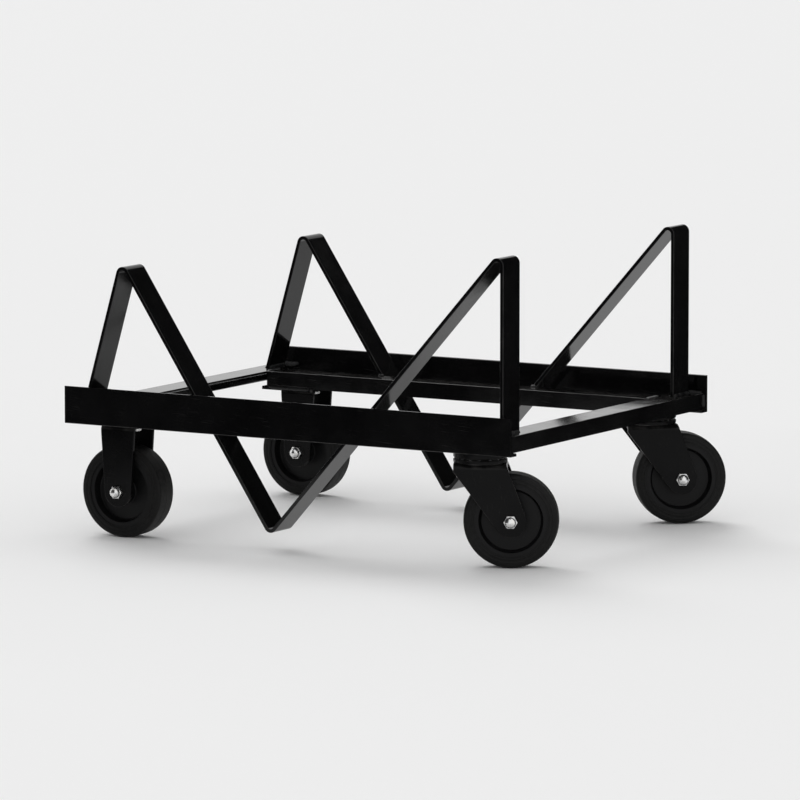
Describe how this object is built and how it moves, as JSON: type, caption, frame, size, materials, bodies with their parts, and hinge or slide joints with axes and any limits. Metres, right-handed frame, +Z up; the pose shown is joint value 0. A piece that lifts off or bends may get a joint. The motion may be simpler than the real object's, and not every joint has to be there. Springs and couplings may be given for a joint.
{
  "type": "transport trolley",
  "caption": "Low welded steel dolly with a V-shaped flat-bar cradle on each long side, rigid casters at one end and swivel casters at the other, for moving stacked furniture.",
  "frame": {"origin": "on the floor, under the middle of the welded frame", "axes": "+X along the long rails towards the swivel casters and the tall posts, +Y towards the rear rail, +Z up"},
  "size_m": [0.7287, 0.5869, 0.4143],
  "materials": {
    "black_paint": "black satin-gloss enamel",
    "fork_paint": "black gloss coating on pressed steel",
    "core_plastic": "black moulded plastic",
    "tyre_rubber": "black rubber",
    "zinc_steel": "bright zinc plate",
    "ball_steel": "polished bearing steel"
  },
  "bodies": {
    "frame": {"front_rail": "black_paint", "front_inner_rail": "black_paint", "front_cradle_strip": "black_paint", "rear_rail": "black_paint", "rear_inner_rail": "black_paint", "rear_cradle_strip": "black_paint", "left_cross_rail": "black_paint", "right_cross_rail": "black_paint", "front_left_mount_plate": "black_paint", "front_left_fork": "fork_paint", "front_left_axle_sleeve": "zinc_steel", "front_left_axle_bolt": "zinc_steel", "front_left_axle_nut": "zinc_steel", "rear_left_mount_plate": "black_paint", "rear_left_fork": "fork_paint", "rear_left_axle_sleeve": "zinc_steel", "rear_left_axle_bolt": "zinc_steel", "rear_left_axle_nut": "zinc_steel", "rigid_fork_bolts": "zinc_steel", "rigid_fork_nuts": "zinc_steel", "front_right_mount_plate": "black_paint", "front_right_upper_race": "fork_paint", "front_right_kingpin": "zinc_steel", "front_right_kingpin_nut": "zinc_steel", "rear_right_mount_plate": "black_paint", "rear_right_upper_race": "fork_paint", "rear_right_kingpin": "zinc_steel", "rear_right_kingpin_nut": "zinc_steel"},
    "front_left_wheel": {"front_left_wheel_core": "core_plastic", "front_left_tyre": "tyre_rubber"},
    "rear_left_wheel": {"rear_left_wheel_core": "core_plastic", "rear_left_tyre": "tyre_rubber"},
    "front_right_swivel": {"front_right_fork": "fork_paint", "front_right_lower_race": "fork_paint", "front_right_swivel_balls": "ball_steel", "front_right_axle_sleeve": "zinc_steel", "front_right_axle_bolt": "zinc_steel", "front_right_axle_nut": "zinc_steel"},
    "front_right_wheel": {"front_right_wheel_core": "core_plastic", "front_right_tyre": "tyre_rubber"},
    "rear_right_swivel": {"rear_right_fork": "fork_paint", "rear_right_lower_race": "fork_paint", "rear_right_swivel_balls": "ball_steel", "rear_right_axle_sleeve": "zinc_steel", "rear_right_axle_bolt": "zinc_steel", "rear_right_axle_nut": "zinc_steel"},
    "rear_right_wheel": {"rear_right_wheel_core": "core_plastic", "rear_right_tyre": "tyre_rubber"}
  },
  "joints": [
    {"name": "front_left_wheel_spin", "type": "hinge", "parent": "frame", "child": "front_left_wheel", "pos_m": [-0.2725, -0.2345, 0.0635], "axis": [0, 1, 0], "continuous": true},
    {"name": "rear_left_wheel_spin", "type": "hinge", "parent": "frame", "child": "rear_left_wheel", "pos_m": [-0.2725, 0.2345, 0.0635], "axis": [0, 1, 0], "continuous": true},
    {"name": "front_right_swivel", "type": "hinge", "parent": "frame", "child": "front_right_swivel", "pos_m": [0.2805, -0.2345, 0.1452], "axis": [0, 0, 1], "continuous": true},
    {"name": "front_right_wheel_spin", "type": "hinge", "parent": "front_right_swivel", "child": "front_right_wheel", "pos_m": [0.31687, -0.21557, 0.0635], "axis": [-0.4617, 0.887, 0], "continuous": true},
    {"name": "rear_right_swivel", "type": "hinge", "parent": "frame", "child": "rear_right_swivel", "pos_m": [0.2805, 0.2345, 0.1452], "axis": [0, 0, 1], "continuous": true},
    {"name": "rear_right_wheel_spin", "type": "hinge", "parent": "rear_right_swivel", "child": "rear_right_wheel", "pos_m": [0.31259, 0.26002, 0.0635], "axis": [-0.6225, 0.7826, 0], "continuous": true}
  ]
}
